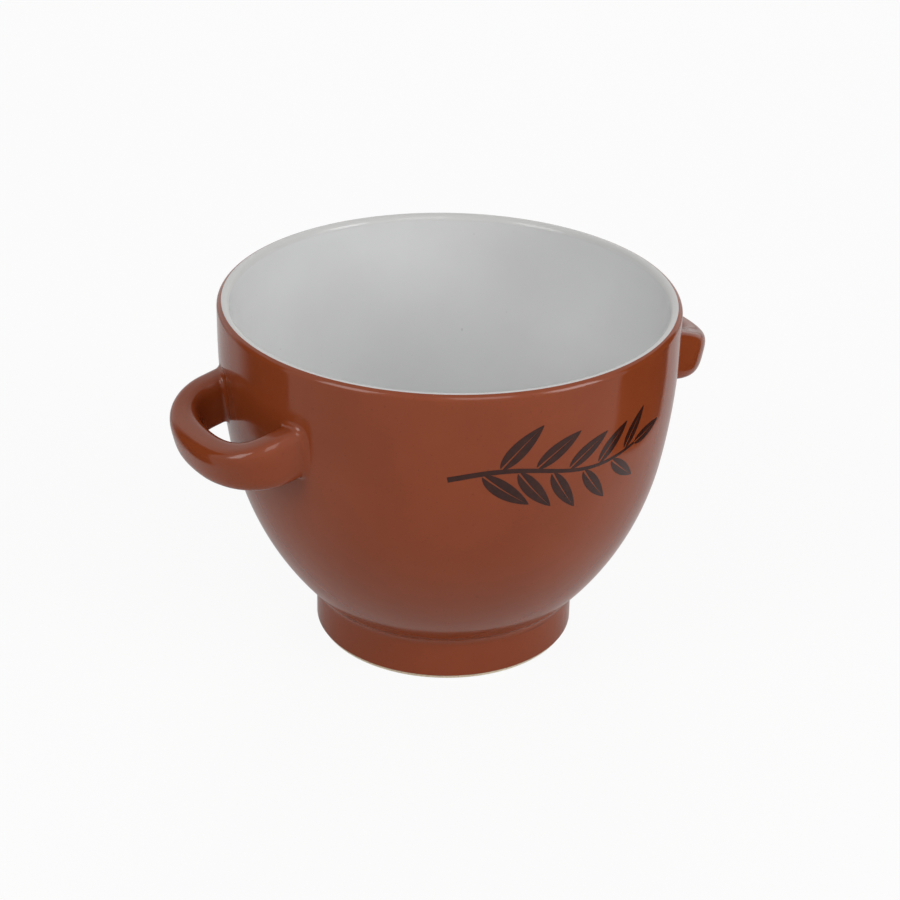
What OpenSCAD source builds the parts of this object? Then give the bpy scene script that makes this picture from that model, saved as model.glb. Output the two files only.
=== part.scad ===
// Two-handled soup mug in glazed stoneware. Millimetres.
// The foot stands on z = 0, the handles lie along X and the decorated front faces -Y.

/* [Bowl] */
// Outside diameter at the rim
rim_d = 120.5; // [102:0.5:140]
// Height from the table to the top of the lip
mug_h = 95.5; // [80:0.1:112]
// Height of the stretch of wall that stands upright below the top of the lip
upright_h = 8.5; // [6:0.1:12]
// Angle from upright at which the slow curve of the upper wall turns into the tighter belly
belly_a = 10.5; // [8:0.1:14]
// Angle from upright at which the belly runs into the crease over the foot
base_a = 44; // [40:0.1:48]
// Thickness of the glazed wall, which is also the width of the round lip
wall_t = 3.2; // [2.8:0.1:5]
// Thickness of the glazed floor
floor_t = 5.5; // [4:0.1:8]
// Radius between the inside floor and the belly
floor_arc_r = 22; // [14:0.5:28]

/* [Foot] */
// Outside diameter of the foot ring
foot_d = 70; // [58:0.5:80]
// Width of the foot ring across its underside
foot_w = 7; // [5.5:0.1:9]
// Height of the foot's upright side, from the table to the crease
foot_h = 10.3; // [8:0.1:14]
// Depth to which the bowl's flat base sits in the foot ring, below the crease
seat_h = 2.3; // [1.8:0.1:3]
// Rounding of the two bottom edges of the foot ring
foot_edge_r = 0.8; // [0.4:0.1:1.2]
// Radius of the hollow where the glaze pools between foot and bowl
crease_r = 4; // [2:0.25:6]

/* [Handles] */
// Depth of the middle of the handles' roots below the top of the lip
handle_drop = 22.3; // [17:0.1:34]
// Length of each handle, from its roots to the outside of its loop
handle_l = 20.3; // [17:0.1:30]
// Angle at which each handle droops away from its roots
handle_droop = 13.6; // [0:0.1:20]
// Width of each handle, over both arms
handle_w = 45.1; // [36:0.1:54]
// Thickness of the handle's band, seen from above
handle_t = 7.9; // [5:0.1:9.5]
// Height of the handle's band at the outside of its loop
handle_h = 10.9; // [8:0.1:15]
// Height to which the band flares at its roots
root_h = 13.5; // [10:0.1:17]
// Squareness of the loop seen from above, where 2 is an ellipse
loop_squareness = 2.35; // [2:0.05:4]
// Squareness of the band's section, where 2 is an ellipse
band_squareness = 3.3; // [2:0.1:4]

/* [Joints and glaze] */
// Thickness of each fired coat of glaze
glaze_t = 0.5; // [0.3:0.05:0.8]
// Height of the bare clay left along the bottom of the foot
bare_h = 1.2; // [1.2:0.1:3]
// Angle above level at which the pale and the brown glaze meet on the lip
glaze_line_a = 75; // [0:1:80]
// Thickness of the slip between a handle's root and the bowl
slip_t = 0.4; // [0.2:0.05:0.6]
// Radius of the slip sponged round a handle's root
fillet_r = 1.5; // [1:0.1:4]

/* [Smoothness] */
// Facets round the bowl
bowl_facets = 120; // [72:8:180]
// Steps along a handle's loop
loop_steps = 44; // [24:2:48]
// Points round a handle's section
band_steps = 24; // [16:4:28]
// Steps down the fillet at a handle's root
fillet_steps = 5; // [3:1:6]

/* [Hidden] */

clay_colour = [0.87, 0.80, 0.66];
liner_colour = [0.80, 0.81, 0.81];
brown_colour = [0.53, 0.27, 0.19];

// Depth of the flat that joins two tangent arcs of the profile
joint_flat = 0.01;
// Room between the slip's faceted bed and the clay
bed_gap = 0.05;
// Steps of the search for the point where a line along the arms meets the wall
seek_steps = 6;
// Facets of the large profile circles, which show only a short arc each
profile_facets = 4 * bowl_facets;

rim_r = rim_d / 2;
foot_r = foot_d / 2;
foot_in_r = foot_r - foot_w;
upright_z = mug_h - upright_h;
handle_z = mug_h - handle_drop;
// Heights of the bowl's flat base and of its inside floor
base_z = foot_h - seat_h;
floor_z = base_z + floor_t;

// The lip is a full round on the middle of the wall
lip_c = [rim_r - wall_t / 2, mug_h - wall_t / 2];

// The crease is an arc that is tangent to the foot's upright side and to the belly
crease_c = [foot_r + crease_r, foot_h];
belly_end = crease_c + crease_r * [-cos(base_a), sin(base_a)];

// The upper wall and the belly are tangent arcs that lead from the upright wall to the crease at the given
// angles. For each unit of its radius an arc leads inward and down by its lead, so the way sets both radii.
way = [rim_r - belly_end.x, upright_z - belly_end.y];
wall_lead = [1 - cos(belly_a), sin(belly_a)];
belly_lead = [cos(belly_a) - cos(base_a), sin(base_a) - sin(belly_a)];
wall_arc_r = cross(way, belly_lead) / cross(wall_lead, belly_lead);
belly_arc_r = cross(wall_lead, way) / cross(wall_lead, belly_lead);
wall_c = [rim_r - wall_arc_r, upright_z];
belly_c = wall_c + (wall_arc_r - belly_arc_r) * [cos(belly_a), -sin(belly_a)];
// Longer than any section, for cutting by half-planes
span = 3 * (wall_arc_r + belly_arc_r);

// The floor's arc is tangent to the flat floor and to the belly's inner arc
floor_c_z = floor_z + floor_arc_r;
floor_c = [belly_c.x + sqrt(pow(belly_arc_r - wall_t - floor_arc_r, 2) - pow(belly_c.y - floor_c_z, 2)),
           floor_c_z];
floor_a = atan2(belly_c.y - floor_c.y, floor_c.x - belly_c.x);

// The foot's section runs up to here, well inside the bowl that is cut from it
foot_stub_z = foot_h + 2 * crease_r;

// Radius of the bowl's outside at a height, set in by a depth
function wall_r(z, inset) =
    z > upright_z ? rim_r - inset :
    z > upright_z - (wall_arc_r - inset) * sin(belly_a) ?
        wall_c.x + sqrt(pow(wall_arc_r - inset, 2) - pow(z - wall_c.y, 2)) :
        belly_c.x + sqrt(pow(belly_arc_r - inset, 2) - pow(z - belly_c.y, 2));

// Point on the +X side of the bowl, found along X
function on_wall(y, z, inset) = [sqrt(pow(wall_r(z, inset), 2) - y * y), y, z];

// Factor that turns the unit circle at an angle into a squarer curve
function square_up(angle, n) = pow(pow(abs(cos(angle)), n) + pow(abs(sin(angle)), n), -1 / n);

// The arms stand this far either side of the handle's middle
arm_y = (handle_w - handle_t) / 2;
root_x = on_wall(arm_y, handle_z, 0).x;

// Point in the frame of a handle: along its arms from the roots, across it, and up from its drooping plane
function in_handle(along, y, up) =
    [root_x + along * cos(handle_droop) + up * sin(handle_droop), y,
     handle_z - along * sin(handle_droop) + up * cos(handle_droop)];

// Distance along the arms at which a line at y and up meets the wall, found in a few steps
function root_along(y, up, inset, along, steps) =
    let (p = in_handle(along, y, up), gap = on_wall(y, p.z, inset).x - p.x)
    steps == 0 ? along : root_along(y, up, inset, along + gap / cos(handle_droop), steps - 1);

function on_root(y, up, inset) = in_handle(root_along(y, up, inset, 0, seek_steps), y, up);

// The handle's centre line: two straight arms, clear of the fillet, and a loop over their ends
arm_l = root_along(arm_y - handle_t / 2, -root_h / 2, 0, 0, seek_steps) + fillet_r;
loop_depth = handle_l - handle_t / 2 - arm_l;

// Point of the band's section, [outward, up], at a height of the band and grown on all sides
function band_point(angle, height, grow) =
    square_up(angle, band_squareness)
    * [(handle_t / 2 + grow) * cos(angle), (height / 2 + grow) * sin(angle)];

band_angles = [for (i = [0:band_steps - 1]) 360 * i / band_steps];

// One section across the loop, at an angle from 0 at the +Y arm to 180 at the -Y arm
function loop_ring(angle) =
    let (unit = square_up(angle, loop_squareness) * [sin(angle), cos(angle)],
         slope = [pow(abs(unit.x), loop_squareness - 1) / loop_depth,
                  sign(unit.y) * pow(abs(unit.y), loop_squareness - 1) / arm_y],
         outward = slope / norm(slope),
         centre = [arm_l + loop_depth * unit.x, arm_y * unit.y],
         height = handle_h + (root_h - handle_h) * pow(1 - pow(unit.x, 2), 2))
    [for (a = band_angles)
        let (p = band_point(a, height, 0), q = centre + outward * p.x) in_handle(q.x, q.y, p.y)];

// Section of an arm on the bowl's surface: side is 1 for the +Y arm and -1 for the -Y arm
function root_ring(side, grow, inset) =
    [for (a = band_angles)
        let (p = band_point(a, root_h, grow)) on_root(side * (arm_y + p.x), p.y, inset)];

// Middle of an arm on the bowl's surface
function root_centre(side, inset) = on_root(side * arm_y, 0, inset);

// Points on the bowl's surface, sunk level into the wall
function sunk(points, inset) = [for (p = points) on_wall(p.y, p.z, inset)];

// Section of the fillet, from the arm's side at t = 0 to the bowl's surface at t = 1
function fillet_ring(side, t) =
    let (corner = root_ring(side, 0, 0), low = root_ring(side, fillet_r, 0),
         rise = in_handle(fillet_r, 0, 0) - in_handle(0, 0, 0))
    [for (i = [0:band_steps - 1])
        pow(1 - t, 2) * (corner[i] + rise) + 2 * t * (1 - t) * corner[i] + t * t * low[i]];

// Depth of a handle's root face below the glazed surface: the slip lies between it and the clay
seat_inset = glaze_t - slip_t;
// Depth of the slip's bed, which its flat facets keep just clear of the round clay
bed_inset = glaze_t - bed_gap;

// Half-plane below a line that falls outward through a point at an angle
module below(point, angle) {
    translate(point) rotate(-angle) translate([-span, -span]) square([2 * span, span]);
}

// Half-plane past the point where two tangent arcs meet, a hair inside it, so that they join in a short flat
module past_joint(centre, radius, angle) {
    translate(centre) rotate(-angle) translate([radius - joint_flat, -span]) square([span, 2 * span]);
}

// Half-section inside the upper wall and the belly, set in by a depth
module belly_face(inset) {
    difference() {
        union() {
            translate([0, upright_z]) square([rim_r - inset, mug_h]);
            difference() {
                translate(wall_c) circle(wall_arc_r - inset, $fn = profile_facets);
                below(belly_c, belly_a);
            }
            intersection() {
                translate(belly_c) circle(belly_arc_r - inset, $fn = profile_facets);
                below(belly_c, belly_a);
            }
        }
        past_joint(belly_c, belly_arc_r - inset, belly_a);
    }
}

// Half-section of the bowl's outside, filled to the axis, set in by a depth
module bowl_face(inset) {
    intersection() {
        translate([0, base_z]) square([rim_d, mug_h]);
        belly_face(inset);
    }
}

// Half-section of the space inside the bowl, set in from the outside by a depth
module cavity_face(inset) {
    arc_r = floor_arc_r + wall_t - inset;
    floor_low = floor_c.y - arc_r;
    intersection() {
        square([rim_d, 2 * mug_h]);
        difference() {
            union() {
                difference() {
                    belly_face(inset);
                    below(floor_c, floor_a);
                }
                translate(floor_c) circle(arc_r, $fn = profile_facets);
                translate([0, floor_low]) square([floor_c.x, upright_z - floor_low]);
            }
            past_joint(floor_c, arc_r, floor_a);
        }
    }
}

// Half-section of the bowl's wall and floor between two depths, with its round lip
module wall_face(outer, inner) {
    intersection() {
        difference() {
            bowl_face(outer);
            cavity_face(inner);
        }
        square([rim_d, lip_c.y]);
    }
    translate(lip_c) circle((inner - outer) / 2, $fn = bowl_facets);
}

// Half-section of the clay bowl under its glaze
module clay_face() {
    wall_face(glaze_t, wall_t - glaze_t);
}

// Half-section of the foot, with its bottom edges rounded and its top inside the bowl
module foot_face(inset) {
    low = [foot_in_r, 0];
    width = foot_w - inset;
    translate(low + [0, foot_edge_r]) square([width, foot_stub_z - foot_edge_r]);
    translate(low + [foot_edge_r, 0]) square([width - 2 * foot_edge_r, 2 * foot_edge_r]);
    for (x = [foot_edge_r, width - foot_edge_r])
        translate(low + [x, foot_edge_r]) circle(foot_edge_r, $fn = bowl_facets);
}

// Half-section of the glaze that fills the crease between foot and bowl
module crease_face() {
    difference() {
        polygon([[foot_in_r, foot_h], [foot_r, foot_h], belly_end, [foot_in_r, foot_stub_z]]);
        translate(crease_c) circle(crease_r, $fn = bowl_facets);
    }
}

// The part of the lip above the line where the two glazes meet
module above_glaze_line() {
    intersection() {
        translate(lip_c) rotate(glaze_line_a) translate([-span, 0]) square([2 * span, span]);
        translate([0, lip_c.y]) square([rim_d, wall_t]);
    }
}

module turned() {
    rotate_extrude($fn = bowl_facets) children();
}

// Closed solid through rings of points, each end closed to a middle point
module ring_solid(rings, first, last) {
    m = len(rings[0]);
    n = len(rings);
    points = concat([for (ring = rings) each ring], [first, last]);
    sides = [for (i = [0:n - 2], j = [0:m - 1])
        let (k = (j + 1) % m) each [[i * m + j, i * m + k, i * m + m + j],
                                    [i * m + k, i * m + m + k, i * m + m + j]]];
    start = [for (j = [0:m - 1]) [n * m, (j + 1) % m, j]];
    end = [for (j = [0:m - 1]) [n * m + 1, n * m - m + j, n * m - m + (j + 1) % m]];
    polyhedron(points, concat(sides, start, end));
}

// Handle on the +X side: a band swept from one root face round the loop to the other
module handle() {
    loop = [for (i = [loop_steps:-1:0]) loop_ring(180 * i / loop_steps)];
    rings = concat([root_ring(-1, 0, seat_inset)], loop, [root_ring(1, 0, seat_inset)]);
    ring_solid(rings, root_centre(-1, seat_inset), root_centre(1, seat_inset));
}

// Slip at one root on the +X side: a bed on the clay and a fillet that the arm stands in
module root_slip(side) {
    fillet = [for (i = [0:fillet_steps]) fillet_ring(side, i / fillet_steps)];
    bed = [for (grow = [fillet_r, 0]) sunk(root_ring(side, grow, 0), bed_inset)];
    rings = concat([root_ring(side, 0, seat_inset)], fillet, bed);
    ring_solid(side > 0 ? rings : [for (ring = rings) [for (i = [band_steps - 1:-1:0]) ring[i]]],
               root_centre(side, seat_inset), sunk([root_centre(side, 0)], bed_inset)[0]);
}

// Slip at both roots of one handle
module handle_slip() {
    for (side = [-1, 1]) root_slip(side);
}

// Prism along X round the slip of one root, which the outer glaze stops at
module root_window(side) {
    outline = [for (p = root_ring(side, fillet_r, 0)) [p.y, p.z]];
    rotate([90, 0, 90]) linear_extrude(rim_d) polygon(outline);
}

module bowl() {
    color(clay_colour) turned() clay_face();
}

module foot_ring() {
    color(clay_colour) turned() difference() {
        foot_face(glaze_t);
        bowl_face(glaze_t);
    }
}

module liner_glaze() {
    color(liner_colour) turned() intersection() {
        difference() {
            wall_face(0, wall_t);
            clay_face();
        }
        union() {
            bowl_face(wall_t / 2);
            above_glaze_line();
        }
    }
}

module outer_glaze() {
    color(brown_colour) difference() {
        turned() difference() {
            union() {
                wall_face(0, wall_t);
                foot_face(0);
                crease_face();
            }
            foot_face(glaze_t);
            clay_face();
            bowl_face(wall_t / 2);
            above_glaze_line();
            square([rim_d, bare_h]);
        }
        for (turn = [0, 180], side = [-1, 1]) rotate(turn) root_window(side);
    }
}

module left_handle() {
    color(brown_colour) mirror([1, 0, 0]) handle();
}

module right_handle() {
    color(brown_colour) handle();
}

module left_handle_slip() {
    color(brown_colour) mirror([1, 0, 0]) handle_slip();
}

module right_handle_slip() {
    color(brown_colour) handle_slip();
}

bowl();
foot_ring();
liner_glaze();
outer_glaze();
left_handle();
right_handle();
left_handle_slip();
right_handle_slip();
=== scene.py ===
"""Two-handled soup mug: finely stepped glazed surfaces over its solids, in a white studio. Metres."""
import math

import bpy
from mathutils import Matrix, Vector


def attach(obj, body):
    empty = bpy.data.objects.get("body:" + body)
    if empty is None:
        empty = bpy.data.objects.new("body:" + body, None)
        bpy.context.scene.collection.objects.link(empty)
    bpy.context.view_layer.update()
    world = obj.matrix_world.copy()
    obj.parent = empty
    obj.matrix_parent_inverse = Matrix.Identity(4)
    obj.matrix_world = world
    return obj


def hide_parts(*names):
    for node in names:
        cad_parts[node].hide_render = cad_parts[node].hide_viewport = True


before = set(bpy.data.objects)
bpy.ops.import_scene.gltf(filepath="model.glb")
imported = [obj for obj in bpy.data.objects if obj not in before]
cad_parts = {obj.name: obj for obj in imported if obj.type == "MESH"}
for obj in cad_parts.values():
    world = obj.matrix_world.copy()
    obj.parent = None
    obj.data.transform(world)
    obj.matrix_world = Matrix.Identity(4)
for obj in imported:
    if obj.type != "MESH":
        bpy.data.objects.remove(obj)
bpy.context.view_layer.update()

MM = 0.001
BODY = "root"

# Sizes of the bowl and the foot, as the solids have them
RIM_R = 60.25 * MM
MUG_H = 95.5 * MM
UPRIGHT_H = 8.5 * MM
BELLY_A = math.radians(10.5)
BASE_A = math.radians(44)
WALL_T = 3.2 * MM
FLOOR_T = 5.5 * MM
FLOOR_ARC_R = 22 * MM
FOOT_R = 35 * MM
FOOT_H = 10.3 * MM
SEAT_H = 2.3 * MM
CREASE_R = 4 * MM
GLAZE_T = 0.5 * MM
BARE_H = 1.2 * MM
GLAZE_LINE = math.radians(75)

# Sizes of the handles
HANDLE_DROP = 22.3 * MM
HANDLE_L = 20.3 * MM
HANDLE_DROOP = math.radians(13.6)
HANDLE_W = 45.1 * MM
HANDLE_T = 7.9 * MM
HANDLE_H = 10.9 * MM
ROOT_H = 13.5 * MM
LOOP_SQUARENESS = 2.35
BAND_SQUARENESS = 3.3
FILLET_R = 1.5 * MM
SEAT_INSET = 0.1 * MM
BED_INSET = 0.45 * MM
# Depth to which the slip's thin edge runs into the wall
SLIP_EDGE = 0.03 * MM

# Steps of the meshes
TURN_STEPS = 256
ARC_SAG = 0.003 * MM
LOOP_STEPS = 96
BAND_STEPS = 56
FILLET_STEPS = 14
UPRIGHT_STEPS = 4
FOOT_STEPS = 6
FLOOR_STEPS = 12
SEEK_STEPS = 6
QUAD = (0, 1, 2, 3)
# Angles between faces above which an edge is sharp
SHARP_ABOVE = math.radians(50)
PRINT_SHARP_ABOVE = math.radians(40)
# Distance below which two points of a profile are one
CLOSE = 1e-7

# Profile of the bowl: centres of its tangent arcs, as (radius, height), and the angles where they meet
UPRIGHT_Z = MUG_H - UPRIGHT_H
HANDLE_Z = MUG_H - HANDLE_DROP
FLOOR_Z = FOOT_H - SEAT_H + FLOOR_T
LIP_R = WALL_T / 2
LIP_C = (RIM_R - LIP_R, MUG_H - LIP_R)
CREASE_C = (FOOT_R + CREASE_R, FOOT_H)
BELLY_END = (CREASE_C[0] - CREASE_R * math.cos(BASE_A), CREASE_C[1] + CREASE_R * math.sin(BASE_A))


def cross(a, b):
    return a[0] * b[1] - a[1] * b[0]


# The upper wall and the belly lead inward and down from the upright wall to the crease.
# Each moves by its lead for each unit of its radius, so the whole way sets both radii.
WAY = (RIM_R - BELLY_END[0], UPRIGHT_Z - BELLY_END[1])
WALL_LEAD = (1 - math.cos(BELLY_A), math.sin(BELLY_A))
BELLY_LEAD = (math.cos(BELLY_A) - math.cos(BASE_A), math.sin(BASE_A) - math.sin(BELLY_A))
WALL_ARC_R = cross(WAY, BELLY_LEAD) / cross(WALL_LEAD, BELLY_LEAD)
BELLY_ARC_R = cross(WALL_LEAD, WAY) / cross(WALL_LEAD, BELLY_LEAD)
WALL_C = (RIM_R - WALL_ARC_R, UPRIGHT_Z)
BELLY_C = (WALL_C[0] + (WALL_ARC_R - BELLY_ARC_R) * math.cos(BELLY_A),
           WALL_C[1] - (WALL_ARC_R - BELLY_ARC_R) * math.sin(BELLY_A))
FLOOR_C_Z = FLOOR_Z + FLOOR_ARC_R
FLOOR_REACH = BELLY_ARC_R - WALL_T - FLOOR_ARC_R
FLOOR_C = (BELLY_C[0] + math.sqrt(FLOOR_REACH ** 2 - (BELLY_C[1] - FLOOR_C_Z) ** 2), FLOOR_C_Z)
FLOOR_A = math.atan2(BELLY_C[1] - FLOOR_C[1], FLOOR_C[0] - BELLY_C[0])


def wall_r(z, inset=0.0):
    """Radius of the bowl's outside at a height, set in by a depth."""
    if z > UPRIGHT_Z:
        return RIM_R - inset
    if z > UPRIGHT_Z - (WALL_ARC_R - inset) * math.sin(BELLY_A):
        return WALL_C[0] + math.sqrt((WALL_ARC_R - inset) ** 2 - (z - WALL_C[1]) ** 2)
    return BELLY_C[0] + math.sqrt((BELLY_ARC_R - inset) ** 2 - (z - BELLY_C[1]) ** 2)


def arc(centre, radius, start, end):
    """Points of an arc in the profile's plane, both ends included."""
    steps = max(2, math.ceil(abs(end - start) / (2 * math.acos(1 - ARC_SAG / radius))))
    angles = [start + (end - start) * i / steps for i in range(steps + 1)]
    return [(centre[0] + radius * math.cos(a), centre[1] + radius * math.sin(a)) for a in angles]


def line(start, end, steps):
    """Evenly spaced points of a straight stretch, both ends included."""
    return [Vector(start).lerp(Vector(end), i / steps) for i in range(steps + 1)]


def joined(*stretches):
    """One profile from stretches that share their end points."""
    points = []
    for stretch in stretches:
        points += [p for p in stretch if not points or math.dist(p, points[-1]) > CLOSE]
    return points


def new_object(name, data):
    """Object of the scene that holds a mesh, a lamp or a camera."""
    item = bpy.data.objects.new(name, data)
    bpy.context.scene.collection.objects.link(item)
    return item


def new_mesh(name, points, faces, material, sharp_above=SHARP_ABOVE):
    """Mesh object with smooth faces, sharp only where two faces meet at more than an angle."""
    mesh = bpy.data.meshes.new(name)
    mesh.from_pydata(points, [], faces)
    mesh.shade_smooth()
    mesh.set_sharp_from_angle(angle=sharp_above)
    mesh.materials.append(material)
    return new_object(name, mesh)


def lathe(name, profile, material):
    """Closed solid turned from a profile that is a loop, or that starts and ends on the axis."""
    on_axis = profile[0][0] < CLOSE
    rings = profile[1:-1] if on_axis else profile
    points = []
    for radius, z in rings:
        for i in range(TURN_STEPS):
            a = 2 * math.pi * i / TURN_STEPS
            points.append((radius * math.cos(a), radius * math.sin(a), z))
    faces = []
    for k in range(len(rings) - 1 if on_axis else len(rings)):
        low, high = k * TURN_STEPS, (k + 1) % len(rings) * TURN_STEPS
        for i in range(TURN_STEPS):
            j = (i + 1) % TURN_STEPS
            faces.append((low + i, high + i, high + j, low + j))
    if on_axis:
        last = (len(rings) - 1) * TURN_STEPS
        start, end = len(points), len(points) + 1
        points += [(0, 0, profile[0][1]), (0, 0, profile[-1][1])]
        for i in range(TURN_STEPS):
            j = (i + 1) % TURN_STEPS
            faces.append((start, i, j))
            faces.append((last + j, last + i, end))
    return new_mesh(name, points, faces, material)


def ring_solid(name, shells, material):
    """Closed solid or solids, each through rings of points with a middle point at both ends."""
    points, faces = [], []
    for rings, first, last in shells:
        base, m, n = len(points), len(rings[0]), len(rings)
        points += [p for ring in rings for p in ring] + [first, last]
        for i in range(n - 1):
            low = base + i * m
            faces += [(low + j, low + (j + 1) % m, low + m + (j + 1) % m, low + m + j) for j in range(m)]
        top = base + (n - 1) * m
        faces += [(base + n * m, base + (j + 1) % m, base + j) for j in range(m)]
        faces += [(base + n * m + 1, top + j, top + (j + 1) % m) for j in range(m)]
    return new_mesh(name, points, faces, material)


# Frame of a handle on the +X side
ARM_Y = (HANDLE_W - HANDLE_T) / 2


def on_wall(y, z, inset):
    """Point on the +X side of the bowl, found along X."""
    return Vector((math.sqrt(wall_r(z, inset) ** 2 - y * y), y, z))


ROOT_X = on_wall(ARM_Y, HANDLE_Z, 0).x


def in_handle(along, y, up):
    """Point along a handle's arms from its roots, across it, and up from its drooping plane."""
    return Vector((ROOT_X + along * math.cos(HANDLE_DROOP) + up * math.sin(HANDLE_DROOP), y,
                   HANDLE_Z - along * math.sin(HANDLE_DROOP) + up * math.cos(HANDLE_DROOP)))


def root_along(y, up, inset):
    """Distance along the arms at which a line at y and up meets the wall."""
    along = 0.0
    for _ in range(SEEK_STEPS):
        p = in_handle(along, y, up)
        along += (on_wall(y, p.z, inset).x - p.x) / math.cos(HANDLE_DROOP)
    return along


def on_root(y, up, inset):
    return in_handle(root_along(y, up, inset), y, up)


def square_up(angle, n):
    """Factor that turns the unit circle at an angle into a squarer curve."""
    return (abs(math.cos(angle)) ** n + abs(math.sin(angle)) ** n) ** (-1 / n)


def band_point(angle, height, grow):
    """Point of the band's section, outward and up, at a height of the band and grown on all sides."""
    k = square_up(angle, BAND_SQUARENESS)
    return (k * (HANDLE_T / 2 + grow) * math.cos(angle), k * (height / 2 + grow) * math.sin(angle))


BAND_ANGLES = [2 * math.pi * i / BAND_STEPS for i in range(BAND_STEPS)]
ARM_L = root_along(ARM_Y - HANDLE_T / 2, -ROOT_H / 2, 0) + FILLET_R
LOOP_DEPTH = HANDLE_L - HANDLE_T / 2 - ARM_L


def loop_ring(angle):
    """Section across the loop, at an angle from 0 at the +Y arm to pi at the -Y arm."""
    n = LOOP_SQUARENESS
    k = square_up(angle, n)
    ux, uy = k * math.sin(angle), k * math.cos(angle)
    slope = Vector((abs(ux) ** (n - 1) / LOOP_DEPTH, math.copysign(abs(uy) ** (n - 1), uy) / ARM_Y))
    outward = slope.normalized()
    height = HANDLE_H + (ROOT_H - HANDLE_H) * (1 - ux ** 2) ** 2
    ring = []
    for a in BAND_ANGLES:
        out, up = band_point(a, height, 0)
        ring.append(in_handle(ARM_L + LOOP_DEPTH * ux + outward.x * out, ARM_Y * uy + outward.y * out, up))
    return ring


def root_ring(side, grow, inset):
    """Section of an arm on the bowl's surface: side is 1 for the +Y arm and -1 for the -Y arm."""
    sections = [band_point(a, ROOT_H, grow) for a in BAND_ANGLES]
    return [on_root(side * (ARM_Y + out), up, inset) for out, up in sections]


def fillet_rings(side):
    """Sections of the slip, from the arm's side down to the bowl's surface."""
    corner = root_ring(side, 0, 0)
    low = root_ring(side, FILLET_R, SLIP_EDGE)
    rise = in_handle(FILLET_R, 0, 0) - in_handle(0, 0, 0)
    rings = []
    for i in range(FILLET_STEPS + 1):
        t = i / FILLET_STEPS
        on_arm, at_corner, on_bowl = (1 - t) ** 2, 2 * t * (1 - t), t * t
        rings.append([on_arm * (c + rise) + at_corner * c + on_bowl * w for c, w in zip(corner, low)])
    return rings


def mirrored(points):
    return [Vector((-p.x, p.y, p.z)) for p in points]


def sided(shells, left):
    """The shells of a +X handle, or their mirror images on the -X side with their faces turned back out."""
    if not left:
        return shells
    return [([mirrored(ring)[::-1] for ring in rings], mirrored([first])[0], mirrored([last])[0])
            for rings, first, last in shells]


def handle_shell():
    """The band, swept from one root face round the loop to the other."""
    rings = [root_ring(1, 0, SEAT_INSET)]
    rings += [loop_ring(math.pi * i / LOOP_STEPS) for i in range(LOOP_STEPS + 1)]
    rings += [root_ring(-1, 0, SEAT_INSET)]
    return rings, on_root(ARM_Y, 0, SEAT_INSET), on_root(-ARM_Y, 0, SEAT_INSET)


def slip_shell(side):
    """The slip of one root: its fillet and the bed below it."""
    fillet = fillet_rings(side)
    bed = [[on_wall(p.y, p.z, BED_INSET) for p in root_ring(side, grow, 0)] for grow in (FILLET_R, 0)]
    rings = [root_ring(side, 0, SEAT_INSET)] + fillet + bed
    if side > 0:
        rings = [ring[::-1] for ring in rings]
    middle = on_root(side * ARM_Y, 0, 0)
    return rings, on_root(side * ARM_Y, 0, SEAT_INSET), on_wall(middle.y, middle.z, BED_INSET)


# Profiles of the two coats of glaze
def brown_profile():
    """The brown coat: down the outside from the lip to the foot, and back up on the clay."""
    foot_x = FOOT_R - GLAZE_T
    clay_r = BELLY_ARC_R - GLAZE_T
    foot_a = math.acos((foot_x - BELLY_C[0]) / clay_r)
    foot_top = BELLY_C[1] - clay_r * math.sin(foot_a)
    edge_c = (FOOT_R - GLAZE_T / 2, BARE_H + GLAZE_T / 2)
    outside = joined(
        arc(LIP_C, LIP_R, GLAZE_LINE, 0),
        line((RIM_R, LIP_C[1]), (RIM_R, UPRIGHT_Z), UPRIGHT_STEPS),
        arc(WALL_C, WALL_ARC_R, 0, -BELLY_A),
        arc(BELLY_C, BELLY_ARC_R, -BELLY_A, -BASE_A),
        arc(CREASE_C, CREASE_R, math.pi - BASE_A, math.pi),
        line((FOOT_R, CREASE_C[1]), (FOOT_R, edge_c[1]), FOOT_STEPS),
        arc(edge_c, GLAZE_T / 2, 0, -math.pi))
    inside = joined(
        line((foot_x, edge_c[1]), (foot_x, foot_top), FOOT_STEPS),
        arc(BELLY_C, clay_r, -foot_a, -BELLY_A),
        arc(WALL_C, WALL_ARC_R - GLAZE_T, -BELLY_A, 0),
        line((RIM_R - GLAZE_T, UPRIGHT_Z), (RIM_R - GLAZE_T, LIP_C[1]), UPRIGHT_STEPS),
        arc(LIP_C, LIP_R - GLAZE_T, 0, GLAZE_LINE))
    return joined(outside, inside)


def liner_face(depth):
    """The inside of the bowl from the axis to the glaze line on the lip, at a depth below the surface."""
    upright_r = RIM_R - WALL_T + depth
    return joined(
        line((0, FLOOR_Z - depth), (FLOOR_C[0], FLOOR_Z - depth), FLOOR_STEPS),
        arc(FLOOR_C, FLOOR_ARC_R + depth, -math.pi / 2, -FLOOR_A),
        arc(BELLY_C, BELLY_ARC_R - WALL_T + depth, -FLOOR_A, -BELLY_A),
        arc(WALL_C, WALL_ARC_R - WALL_T + depth, -BELLY_A, 0),
        line((upright_r, UPRIGHT_Z), (upright_r, LIP_C[1]), UPRIGHT_STEPS),
        arc(LIP_C, LIP_R - depth, math.pi, GLAZE_LINE))


# Herb sprig printed on the front: sizes along the wall and up it
SPRIG_Z = 73 * MM
SPRIG_START = -34 * MM
SPRIG_END = 19 * MM
SPRIG_SWAY = 1.8 * MM
STEM_W = 1.3 * MM
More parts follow.
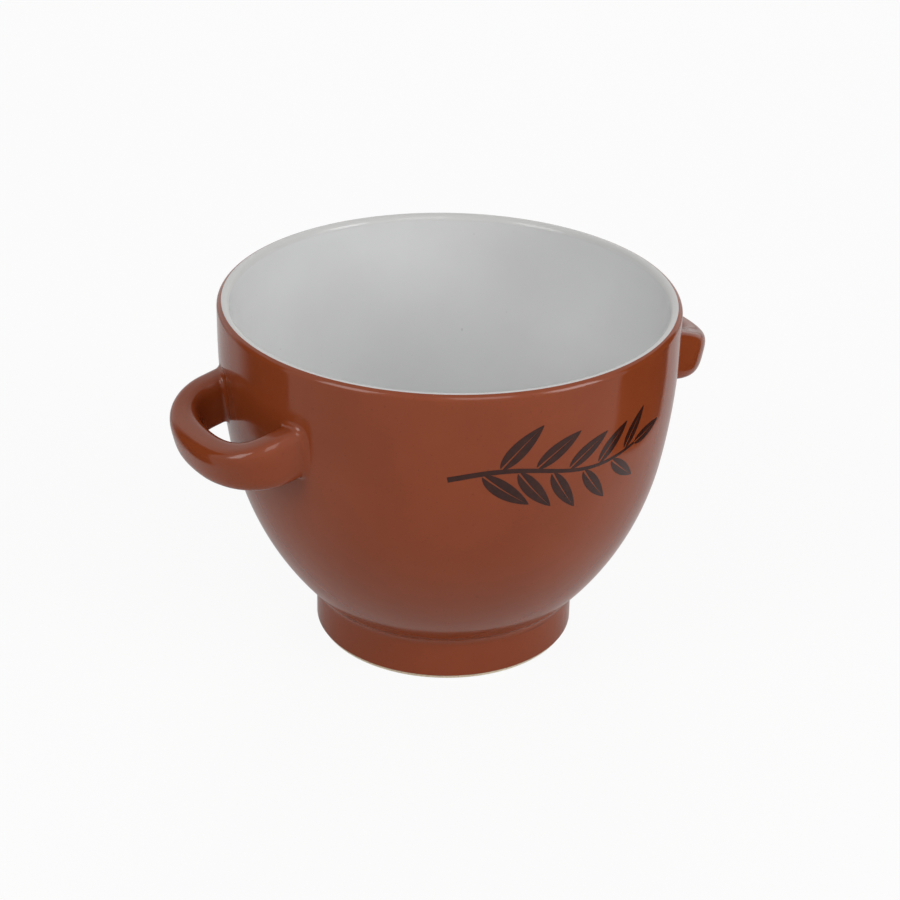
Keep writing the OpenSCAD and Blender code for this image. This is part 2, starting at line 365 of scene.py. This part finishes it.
# Shares of that width at the stem's foot and lost by its tip, and the step that finds its direction
STEM_FOOT = 1.15
STEM_TAPER = 0.55
STEM_PROBE = 0.01
LEAVES_A_SIDE = 5
FIRST_LEAF = 0.15
LAST_LEAF = 0.92
LEAF_L = 15 * MM
LEAF_SHRINK = 0.3
LEAF_WIDTH = 0.30
LEAF_ANGLE = math.radians(50)
LEAF_BEND = 0.12
LEAF_STALK = 0.8 * MM
# Outline of a leaf: its fullness, how blunt its root and its tip are, and the share left off at both ends
LEAF_FULLNESS = 3.0
ROOT_POWER = 0.7
TIP_POWER = 0.9
BLADE_TRIM = 0.01
VEIN_W = 0.5 * MM
PRINT_UP = 0.04 * MM
PRINT_DOWN = 0.15 * MM
BLADE_STEPS = 18
BLADE_ACROSS = 4
STEM_STEPS = 60


def on_front(s, z, lift):
    """Point a distance along the wall from the middle of the front, at a height, lifted off the glaze."""
    a = s / wall_r(SPRIG_Z)
    radius = wall_r(z) + lift
    return Vector((radius * math.sin(a), -radius * math.cos(a), z))


def stem_at(t):
    """Point of the stem's middle line, along the wall and up it, from its foot at 0 to its tip at 1."""
    along = SPRIG_START + (SPRIG_END - SPRIG_START) * t
    return Vector((along, SPRIG_Z + SPRIG_SWAY * math.sin(2 * math.pi * t)))


def off_stem(t, angle):
    """Direction at an angle from the stem's own."""
    d = (stem_at(t + STEM_PROBE) - stem_at(t - STEM_PROBE)).normalized()
    c, s = math.cos(angle), math.sin(angle)
    return Vector((d.x * c - d.y * s, d.x * s + d.y * c))


def patch(rows, points, faces):
    """Adds a thin closed patch of print to a mesh, through rows of points along the wall and up it."""
    base, n, m = len(points), len(rows), len(rows[0])
    for lift in (PRINT_UP, -PRINT_DOWN):
        points += [on_front(p.x, p.y, lift) for row in rows for p in row]
    below = n * m
    for i in range(n - 1):
        for j in range(m - 1):
            a = base + i * m + j
            quad = (a, a + 1, a + m + 1, a + m)
            faces.append(quad)
            faces.append(tuple(k + below for k in reversed(quad)))
    rim = [i * m for i in range(n)] + [(n - 1) * m + j for j in range(1, m)]
    rim += [i * m + m - 1 for i in range(n - 2, -1, -1)] + list(range(m - 2, 0, -1))
    for k, p in enumerate(rim):
        q = rim[(k + 1) % len(rim)]
        faces.append((base + p, base + q, base + q + below, base + p + below))


def strip(points, faces, middle, half_width):
    """Adds a strip of print along a list of points, with its half width at each."""
    rows = []
    for i, p in enumerate(middle):
        d = (middle[min(i + 1, len(middle) - 1)] - middle[max(i - 1, 0)]).normalized()
        across = Vector((-d.y, d.x)) * half_width[i]
        rows.append([p + across, p, p - across])
    patch(rows, points, faces)


def leaf_width(u):
    """Half width of a leaf along its length, as a share of its widest: rounder at its root."""
    return LEAF_FULLNESS * u ** ROOT_POWER * (1 - u) ** TIP_POWER


def half_blade(points, faces, root, direction, bend, length, side):
    """Adds one half of a leaf, on one side of its vein, which bends away from its first direction."""
    across = Vector((-direction.y, direction.x)) * side
    rows = []
    for i in range(BLADE_STEPS + 1):
        u = BLADE_TRIM + (1 - 2 * BLADE_TRIM) * i / BLADE_STEPS
        middle = root + (direction * u + bend * u * u) * length
        inner = VEIN_W / 2 * (1 - u)
        width = LEAF_WIDTH * length / 2 * leaf_width(u)
        row = [middle + across * (inner + width * j / BLADE_ACROSS) for j in range(BLADE_ACROSS + 1)]
        rows.append(row if side < 0 else row[::-1])
    patch(rows, points, faces)


def sprig(material):
    """The printed sprig: a swaying stem with leaves on alternate sides, smaller towards its tip."""
    points, faces = [], []
    steps = [i / STEM_STEPS for i in range(STEM_STEPS + 1)]
    half_widths = [STEM_W / 2 * (STEM_FOOT - STEM_TAPER * t) for t in steps]
    strip(points, faces, [stem_at(t) for t in steps], half_widths)
    leaves = [(1.0, 0.0)]
    for k in range(2 * LEAVES_A_SIDE):
        t = FIRST_LEAF + (LAST_LEAF - FIRST_LEAF) * k / (2 * LEAVES_A_SIDE - 1)
        leaves.append((t, LEAF_ANGLE if k % 2 else -LEAF_ANGLE))
    for t, angle in leaves:
        direction = off_stem(t, angle)
        root = stem_at(t) + direction * (LEAF_STALK if angle else 0)
        bend = off_stem(t, 0) * LEAF_BEND
        for side in (-1, 1):
            half_blade(points, faces, root, direction, bend, LEAF_L * (1 - LEAF_SHRINK * t), side)
    return new_mesh("front_sprig", points, faces, material, PRINT_SHARP_ABOVE)


# Colours of the surfaces, in linear light
BROWN_DEEP = (0.209, 0.0405, 0.0106)
BROWN_LIGHT = (0.230, 0.046, 0.0126)
BROWN_SPECK = (0.09, 0.018, 0.006)
BROWN_POOL = (0.055, 0.011, 0.004)
PALE_DEEP = (0.66, 0.665, 0.66)
PALE_LIGHT = (0.695, 0.70, 0.70)
PALE_PINHOLE = (0.22, 0.20, 0.18)
# Painted shade: a darker pale for the top of the lip, which the light makes brighter than the inner wall
PALE_LIP_SHADE = (0.53, 0.525, 0.515)
CLAY_DEEP = (0.62, 0.52, 0.37)
CLAY_LIGHT = (0.74, 0.65, 0.49)
CLAY_SPECK = (0.30, 0.22, 0.14)
CLAY_WORN = (0.45, 0.41, 0.35)
PRINT_DEEP = (0.026, 0.0060, 0.0035)
PRINT_LIGHT = (0.040, 0.0095, 0.0055)
FLOOR_PALE = (0.7, 0.7, 0.7, 1.0)
CARD_DARK = (0.02, 0.02, 0.02, 1.0)
WHITE = (1, 1, 1, 1)

# Gloss of the glazes, with the depth of their ripple and the part that orange peel has in it
GLAZE_IOR = 1.5
GLAZE_SPECULAR = 0.32
GLAZE_SMOOTH = 0.096
GLAZE_DULL = 0.156
RIPPLE_H = 0.15 * MM
RIPPLE_STRENGTH = 0.25
PEEL_PART = 0.12
# Pool of brown glaze: height of its middle above the crease, and half heights of its core and of all of it
POOL_UP = 0.4 * MM
POOL_CORE = 0.15 * MM
POOL_EDGE = 0.5 * MM
# Depths below the top of the lip at which the painted shade on the pale glaze starts and is darkest
LIP_SHADE_START = 1.8 * MM
LIP_SHADE_END = 0.7 * MM
# Bare clay: depth of its grain, and height to which its foot is worn
GRAIN_H = 0.2 * MM
GRAIN_STRENGTH = 0.6
WORN_H = 0.4 * MM
MATT = 0.9


class Paint:
    """A node material with its shader, and short ways to add the nodes that drive it."""

    def __init__(self, name):
        self.material = bpy.data.materials.new(name)
        self.material.use_nodes = True
        self.tree = self.material.node_tree
        self.shader = self.tree.nodes["Principled BSDF"]
        self.coords = self.tree.nodes.new("ShaderNodeTexCoord").outputs["Object"]

    def link(self, source, target):
        self.tree.links.new(source, target)

    def node(self, kind, **values):
        node = self.tree.nodes.new(kind)
        for key, value in values.items():
            setattr(node, key, value)
        return node

    def noise(self, scale, detail=3.0, roughness=0.5):
        node = self.node("ShaderNodeTexNoise")
        self.link(self.coords, node.inputs["Vector"])
        node.inputs["Scale"].default_value = scale
        node.inputs["Detail"].default_value = detail
        node.inputs["Roughness"].default_value = roughness
        return node.outputs["Fac"]

    def spread(self, value, low, high, to_low=0.0, to_high=1.0):
        """A value between two limits, spread evenly over another range."""
        node = self.node("ShaderNodeMapRange")
        self.link(value, node.inputs["Value"])
        for key, number in (("From Min", low), ("From Max", high), ("To Min", to_low), ("To Max", to_high)):
            node.inputs[key].default_value = number
        return node.outputs["Result"]

    def maths(self, operation, a, b=0.0):
        node = self.node("ShaderNodeMath", operation=operation)
        for socket, value in zip(node.inputs, (a, b)):
            if isinstance(value, (int, float)):
                socket.default_value = value
            else:
                self.link(value, socket)
        return node.outputs[0]

    def blend(self, share, a, b):
        """Colour a where the share is 0 and b where it is 1."""
        node = self.node("ShaderNodeMix", data_type="RGBA")
        self.link(share, node.inputs["Factor"])
        for key, colour in (("A", a), ("B", b)):
            socket = next(s for s in node.inputs if s.name == key and s.type == "RGBA")
            if isinstance(colour, tuple):
                socket.default_value = (*colour, 1.0)
            else:
                self.link(colour, socket)
        return next(s for s in node.outputs if s.type == "RGBA")

    def tint(self, colour, other, mask, strength):
        """A colour moved towards another where a mask is 1, by a strength."""
        return self.blend(self.maths("MULTIPLY", mask, strength), colour, other)

    def height(self):
        node = self.node("ShaderNodeSeparateXYZ")
        self.link(self.coords, node.inputs[0])
        return node.outputs["Z"]

    def bump(self, heights, distance, strength):
        node = self.node("ShaderNodeBump")
        node.inputs["Distance"].default_value = distance
        node.inputs["Strength"].default_value = strength
        self.link(heights, node.inputs["Height"])
        self.link(node.outputs["Normal"], self.shader.inputs["Normal"])

    def set(self, **values):
        for key, value in values.items():
            self.shader.inputs[key.replace("_", " ")].default_value = value


def glaze_surface(paint):
    """What every glaze here shares: a slightly uneven gloss over a faint ripple and a fine orange peel."""
    uneven = paint.noise(scale=60, detail=4)
    dull = paint.spread(uneven, low=0.3, high=0.7, to_low=GLAZE_SMOOTH, to_high=GLAZE_DULL)
    paint.link(dull, paint.shader.inputs["Roughness"])
    ripple = paint.noise(scale=90, detail=1)
    peel = paint.maths("MULTIPLY", paint.noise(scale=900, detail=2), PEEL_PART)
    paint.bump(paint.maths("ADD", ripple, peel), RIPPLE_H, RIPPLE_STRENGTH)
    paint.set(IOR=GLAZE_IOR, Specular_IOR_Level=GLAZE_SPECULAR)


def brown_glaze():
    """Reddish brown glaze: faintly mottled, and darker where it pools in the crease."""
    paint = Paint("brown_glaze")
    clouds = paint.spread(paint.noise(scale=38, detail=5, roughness=0.6), low=0.35, high=0.65)
    colour = paint.blend(clouds, BROWN_DEEP, BROWN_LIGHT)
    specks = paint.spread(paint.noise(scale=1500, detail=2), low=0.66, high=0.74)
    colour = paint.tint(colour, BROWN_SPECK, specks, strength=0.35)
    above_pool = paint.maths("SUBTRACT", paint.height(), CREASE_C[1] + POOL_UP)
    pool = paint.spread(paint.maths("ABSOLUTE", above_pool), POOL_CORE, POOL_EDGE, to_low=1.0, to_high=0.0)
    patches = paint.spread(paint.noise(scale=45, detail=2), low=0.50, high=0.60)
    colour = paint.tint(colour, BROWN_POOL, paint.maths("MULTIPLY", pool, patches), strength=0.4)
    paint.link(colour, paint.shader.inputs["Base Color"])
    glaze_surface(paint)
    return paint.material


def pale_glaze():
    """Grey-white glaze: faint warm and cool clouds, a few small pinholes, and painted shade that darkens
    the top of the lip.
    """
    paint = Paint("pale_glaze")
    clouds = paint.spread(paint.noise(scale=30, detail=4), low=0.35, high=0.65)
    colour = paint.blend(clouds, PALE_DEEP, PALE_LIGHT)
    pinholes = paint.spread(paint.noise(scale=620, detail=0), low=0.87, high=0.90)
    colour = paint.tint(colour, PALE_PINHOLE, pinholes, strength=0.2)
    # Painted shade: the pale glaze is darkened towards the top of the lip, where the light falls most
    lip_shade = paint.spread(paint.height(), MUG_H - LIP_SHADE_START, MUG_H - LIP_SHADE_END)
    colour = paint.tint(colour, PALE_LIP_SHADE, lip_shade, strength=0.8)
    paint.link(colour, paint.shader.inputs["Base Color"])
    glaze_surface(paint)
    return paint.material


def bare_clay():
    """Cream stoneware left bare: matt, sandy, and worn grey where it stands on the table."""
    paint = Paint("bare_clay")
    grain = paint.noise(scale=1400, detail=3)
    colour = paint.blend(paint.spread(grain, low=0.35, high=0.65), CLAY_DEEP, CLAY_LIGHT)
    specks = paint.spread(paint.noise(scale=2600, detail=0), low=0.70, high=0.76)
    colour = paint.tint(colour, CLAY_SPECK, specks, strength=0.6)
    worn = paint.spread(paint.height(), 0.0, WORN_H, to_low=0.45, to_high=0.0)
    colour = paint.blend(worn, colour, CLAY_WORN)
    paint.link(colour, paint.shader.inputs["Base Color"])
    dull = paint.spread(grain, low=0.3, high=0.7, to_low=0.75, to_high=0.95)
    paint.link(dull, paint.shader.inputs["Roughness"])
    paint.bump(grain, GRAIN_H, GRAIN_STRENGTH)
    return paint.material


def print_brown():
    """Dark brown print under the glaze, a little uneven as transfer prints are."""
    paint = Paint("print_brown")
    cover = paint.spread(paint.noise(scale=420, detail=3), low=0.35, high=0.7)
    colour = paint.blend(cover, PRINT_DEEP, PRINT_LIGHT)
    paint.link(colour, paint.shader.inputs["Base Color"])
    glaze_surface(paint)
    return paint.material


def white_stage(name):
    """White that the camera and reflections see as nearly full white, with the object's shadow kept."""
    paint = Paint(name)
    paint.set(Base_Color=FLOOR_PALE, Roughness=MATT)
    rays = paint.node("ShaderNodeLightPath").outputs
    mirrored_rays = paint.maths("MAXIMUM", rays["Is Glossy Ray"], rays["Is Transmission Ray"])
    share = paint.maths("MAXIMUM", paint.maths("MULTIPLY", rays["Is Camera Ray"], STAGE_GLOW),
                        paint.maths("MULTIPLY", mirrored_rays, MIRRORED_GLOW))
    glow = paint.node("ShaderNodeEmission")
    glow.inputs["Color"].default_value = WHITE
    mix = paint.node("ShaderNodeMixShader")
    paint.link(share, mix.inputs["Fac"])
    paint.link(paint.shader.outputs["BSDF"], mix.inputs[1])
    paint.link(glow.outputs["Emission"], mix.inputs[2])
    paint.link(mix.outputs["Shader"], paint.tree.nodes["Material Output"].inputs["Surface"])
    return paint.material


# Camera: the photograph's viewing angle, and its picture's focal length in widths of the frame
CAMERA_AZIMUTH = math.radians(-32.9)
CAMERA_HEIGHT = 324.1 * MM
CAMERA_BACK = 532.6 * MM
CAMERA_ROLL = math.radians(1.28)
AIM = Vector((0.9, 1.1, 49.9)) * MM
FOCAL_WIDTHS = 2.4805
SENSOR_W = 36.0

# Share of the floor's white that doesn't depend on the light on it: seen directly, and in reflections
STAGE_GLOW = 0.92
MIRRORED_GLOW = 0.10
FLOOR_SIZE = 6.0
# Dark cards either side of the mug, as seen from the camera: distance, height, near and far edges
CARD_X = 150 * MM
CARD_H = 160 * MM
LEFT_CARD = (-59 * MM, 42 * MM)
RIGHT_CARD = (-39 * MM, 78 * MM)
# Width over which a card fades out towards its far edge
LEFT_FADE = 36 * MM
RIGHT_FADE = 4 * MM
# Light from all round, and how white it is where it is seen
WORLD_LIGHT = 0.28
WORLD_WHITE = 0.955
# Soft boxes: size and distance, then for each its degrees round from the camera and up, its power in watts,
# and whether the gloss mirrors it
BOX_W = 0.55
BOX_H = 0.75
BOX_DISTANCE = 1.3
SOFT_BOXES = {
    "key_left": (-50, 32, 5.9, True),
    "key_front": (18, 42, 3.5, True),
    "key_right": (62, 24, 7.6, True),
    "back_fill": (180, 30, 4.5, False),
}


def white_floor():
    """Wide pale floor that the mug stands on."""
    half = FLOOR_SIZE / 2
    corners = [(-half, -half, 0), (half, -half, 0), (half, half, 0), (-half, half, 0)]
    floor = new_mesh("floor", corners, [QUAD], white_stage("white_floor"))


def dark_card(name, side, near, far, fade):
    """Dark card that shows only in the mug's gloss, so that the wall keeps its colour near its edges."""
    paint = Paint(name)
    paint.set(Base_Color=CARD_DARK, Roughness=MATT)
    turn = Matrix.Rotation(CAMERA_AZIMUTH, 3, "Z")
    along = paint.node("ShaderNodeVectorMath", operation="DOT_PRODUCT")
    paint.link(paint.coords, along.inputs[0])
    along.inputs[1].default_value = turn @ Vector((0, 1, 0))
    cover = paint.spread(along.outputs["Value"], far - fade, far, to_low=1.0, to_high=0.0)
    paint.link(cover, paint.shader.inputs["Alpha"])
    outline = [(near, 0), (far, 0), (far, CARD_H), (near, CARD_H)]
    corners = [turn @ Vector((side * CARD_X, y, z)) for y, z in outline]
    card = new_mesh(name, corners, [QUAD], paint.material)
    card.visible_camera = False
    card.visible_diffuse = False
    card.visible_shadow = False


def white_world():
    """Even light from all round; the camera and reflections see it as white as the floor."""
    world = bpy.data.worlds.new("studio")
    bpy.context.scene.world = world
    world.use_nodes = True
    tree = world.node_tree
    background = tree.nodes["Background"]
    background.inputs["Color"].default_value = WHITE
    path = tree.nodes.new("ShaderNodeLightPath")
    seen = path.outputs["Is Camera Ray"]
    for name in ("Is Glossy Ray", "Is Transmission Ray"):
        most = tree.nodes.new("ShaderNodeMath")
        most.operation = "MAXIMUM"
        tree.links.new(seen, most.inputs[0])
        tree.links.new(path.outputs[name], most.inputs[1])
        seen = most.outputs[0]
    level = tree.nodes.new("ShaderNodeMapRange")
    level.inputs["To Min"].default_value = WORLD_LIGHT
    level.inputs["To Max"].default_value = WORLD_WHITE
    tree.links.new(seen, level.inputs["Value"])
    tree.links.new(level.outputs["Result"], background.inputs["Strength"])


def soft_box(name, turn, rise, power, in_gloss):
    """Rectangular soft light, aimed at the middle of the mug."""
    azimuth, elevation = CAMERA_AZIMUTH + math.radians(turn), math.radians(rise)
    data = bpy.data.lights.new(name, "AREA")
    data.shape = "RECTANGLE"
    data.size, data.size_y = BOX_W, BOX_H
    data.energy = power
    lamp = new_object(name, data)
    towards = Vector((math.sin(azimuth) * math.cos(elevation), -math.cos(azimuth) * math.cos(elevation),
                      math.sin(elevation)))
    middle = Vector((0, 0, MUG_H / 2))
    lamp.location = middle + towards * BOX_DISTANCE
    lamp.rotation_euler = towards.to_track_quat("Z", "Y").to_euler()
    lamp.visible_glossy = in_gloss


def add_camera():
    """Camera that turns with the photograph's viewing angle and leans by its roll."""
    data = bpy.data.cameras.new("camera")
    data.sensor_fit = "HORIZONTAL"
    data.sensor_width = SENSOR_W
    data.lens = SENSOR_W * FOCAL_WIDTHS
    camera = new_object("camera", data)
    turn = Matrix.Rotation(CAMERA_AZIMUTH, 3, "Z")
    place = turn @ Vector((0, -CAMERA_BACK, CAMERA_HEIGHT))
    forward = (turn @ AIM - place).normalized()
    level = forward.cross(Vector((0, 0, 1))).normalized()
    above = level.cross(forward)
    right = level * math.cos(CAMERA_ROLL) + above * math.sin(CAMERA_ROLL)
    up = above * math.cos(CAMERA_ROLL) - level * math.sin(CAMERA_ROLL)
    camera.matrix_world = Matrix.Translation(place) @ Matrix((right, up, -forward)).transposed().to_4x4()
    bpy.context.scene.camera = camera


def dress(piece, slot, *nodes):
    """Puts a fine piece in place of the nodes that it stands for."""
    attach(piece, BODY)
    if nodes:
        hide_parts(*nodes)


BROWN = brown_glaze()
PALE = pale_glaze()
CLAY = bare_clay()

for node in ("bowl", "foot_ring"):
    cad_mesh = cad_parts[node].data
    cad_mesh.materials.clear()
    cad_mesh.materials.append(CLAY)

dress(lathe("brown_coat", brown_profile(), BROWN), "brown_glaze", "outer_glaze")
dress(lathe("pale_coat", liner_face(0) + liner_face(GLAZE_T)[::-1], PALE), "pale_glaze", "liner_glaze")
for hand in ("left", "right"):
    is_left = hand == "left"
    band = ring_solid(hand + "_loop", sided([handle_shell()], is_left), BROWN)
    dress(band, "brown_glaze", hand + "_handle")
    slip = ring_solid(hand + "_root_slip", sided([slip_shell(1), slip_shell(-1)], is_left), BROWN)
    dress(slip, "brown_glaze", hand + "_handle_slip")
dress(sprig(print_brown()), "brown_glaze")

white_floor()
dark_card("dark_card_left", -1, *LEFT_CARD, LEFT_FADE)
dark_card("dark_card_right", 1, *RIGHT_CARD, RIGHT_FADE)
white_world()
for lamp_name, lamp_values in SOFT_BOXES.items():
    soft_box(lamp_name, *lamp_values)
add_camera()

bpy.context.scene.view_settings.view_transform = "Standard"
